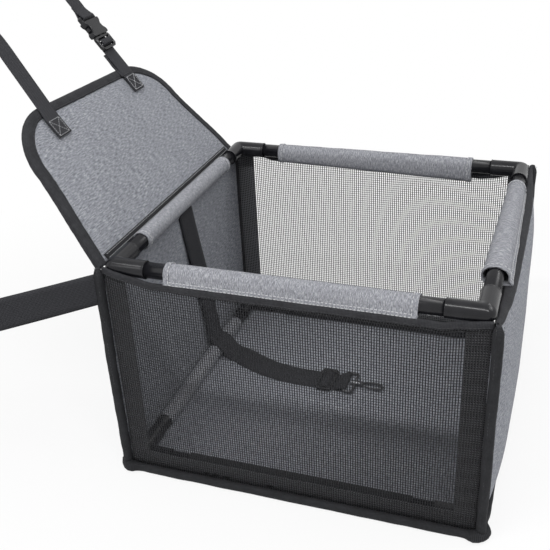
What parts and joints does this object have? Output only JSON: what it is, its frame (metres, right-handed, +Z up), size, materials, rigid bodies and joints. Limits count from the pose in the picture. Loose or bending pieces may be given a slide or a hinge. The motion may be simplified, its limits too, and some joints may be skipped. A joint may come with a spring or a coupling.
{
  "type": "dog car seat",
  "caption": "Open-topped soft box for a small dog on two tube frames, with net sides, a headrest flap with buckled straps, a seat-back strap and a snap-hook tether.",
  "frame": {"origin": "middle of the underside, where the base board lies on the car's seat", "axes": "+Z up, -Y towards the front wall, +Y towards the headrest flap, +X towards the side of the buckle"},
  "size_m": [0.5302, 0.6515, 0.5503],
  "materials": {
    "grey_cloth": "heather grey woven polyester",
    "black_tape": "black woven edge binding",
    "black_net": "black coated mesh",
    "tube_plastic": "satin black plastic",
    "buckle_plastic": "satin black moulded plastic",
    "black_webbing": "black woven webbing",
    "hook_metal": "dark plated metal",
    "board": "stiff base board in black cloth"
  },
  "bodies": {
    "base": {"back_wall": "grey_cloth", "base_binding": "black_tape", "base_elbow_back_left": "tube_plastic", "base_elbow_back_right": "tube_plastic", "base_elbow_front_left": "tube_plastic", "base_elbow_front_right": "tube_plastic", "base_sleeve_back": "grey_cloth", "base_sleeve_front": "grey_cloth", "base_sleeve_left": "black_tape", "base_sleeve_right": "black_tape", "base_tube_back": "tube_plastic", "base_tube_front": "tube_plastic", "base_tube_left": "tube_plastic", "base_tube_right": "tube_plastic", "corner_binding_back_left": "black_tape", "corner_binding_back_right": "black_tape", "corner_binding_front_left": "black_tape", "corner_binding_front_right": "black_tape", "floor_board": "board", "floor_lining": "grey_cloth", "front_wall": "grey_cloth", "left_net": "black_net", "left_net_border": "black_tape", "right_net": "black_net", "right_net_border": "black_tape", "swivel_eye": "hook_metal", "tether_adjuster": "buckle_plastic", "tether_loop": "black_webbing", "tether_strap": "black_webbing", "top_binding_back": "black_tape", "top_binding_front": "black_tape", "top_binding_left": "black_tape", "top_binding_right": "black_tape"},
    "rim": {"rim_elbow_back_left": "tube_plastic", "rim_elbow_back_right": "tube_plastic", "rim_elbow_front_left": "tube_plastic", "rim_elbow_front_right": "tube_plastic", "rim_sleeve_back": "grey_cloth", "rim_sleeve_front": "grey_cloth", "rim_sleeve_left": "grey_cloth", "rim_sleeve_right": "grey_cloth", "rim_tube_back": "tube_plastic", "rim_tube_front": "tube_plastic", "rim_tube_left": "tube_plastic", "rim_tube_right": "tube_plastic"},
    "seat_back_webbing": {"seat_back_strap": "black_webbing"},
    "flap": {"flap_front": "grey_cloth", "flap_back": "grey_cloth", "flap_tape": "black_tape", "flap_piping": "black_tape", "headrest_strap_left": "black_webbing", "buckle_strap": "black_webbing", "buckle_plug": "buckle_plastic"},
    "socket": {"buckle_socket": "buckle_plastic", "headrest_strap_right": "black_webbing"},
    "prong_left": {"buckle_prong_left": "buckle_plastic"},
    "prong_right": {"buckle_prong_right": "buckle_plastic"},
    "hook": {"snap_hook": "hook_metal"},
    "gate": {"hook_gate": "hook_metal"}
  },
  "joints": [
    {"name": "rim_lower", "type": "slide", "parent": "base", "child": "rim", "axis": [0, 0, -1], "range_m": [0, 0.18], "deforming": ["front_wall", "back_wall", "left_net", "right_net", "left_net_border", "right_net_border", "top_binding_front", "top_binding_back", "top_binding_left", "top_binding_right", "corner_binding_front_left", "corner_binding_front_right", "corner_binding_back_left", "corner_binding_back_right", "tether_strap"]},
    {"name": "flap_fold", "type": "hinge", "parent": "rim", "child": "flap", "pos_m": [0, 0.2, 0.277], "axis": [1, 0, 0], "range_deg": [-18, 128]},
    {"name": "seat_back_strap_swing", "type": "hinge", "parent": "rim", "child": "seat_back_webbing", "pos_m": [-0.2038, 0.2138, 0.2541], "axis": [0, 0, 1], "range_deg": [-45, 45]},
    {"name": "buckle_release", "type": "slide", "parent": "flap", "child": "socket", "axis": [0, 0.6157, 0.788], "range_m": [0, 0.03], "deforming": ["buckle_prong_left", "buckle_prong_right"]},
    {"name": "prong_left_squeeze", "type": "hinge", "parent": "flap", "child": "prong_left", "pos_m": [0.0852, 0.34938, 0.45889], "axis": [0, 0.788, -0.6157], "range_deg": [0, 13], "stiffness_Nm_per_rad": 0.12},
    {"name": "prong_right_squeeze", "type": "hinge", "parent": "flap", "child": "prong_right", "pos_m": [0.1048, 0.34938, 0.45889], "axis": [0, -0.788, 0.6157], "range_deg": [0, 13], "stiffness_Nm_per_rad": 0.12},
    {"name": "hook_swivel", "type": "hinge", "parent": "base", "child": "hook", "pos_m": [0.028, -0.0152, 0.0096], "axis": [0, -1, 0], "range_deg": [-18, 18]},
    {"name": "gate_open", "type": "hinge", "parent": "hook", "child": "gate", "pos_m": [0.02402, -0.02812, 0.0096], "axis": [0, 0, 1], "range_deg": [0, 25], "stiffness_Nm_per_rad": 0.02}
  ],
  "couplings": [
    {"joint": "prong_right_squeeze", "follows": "prong_left_squeeze", "ratio": 1}
  ]
}
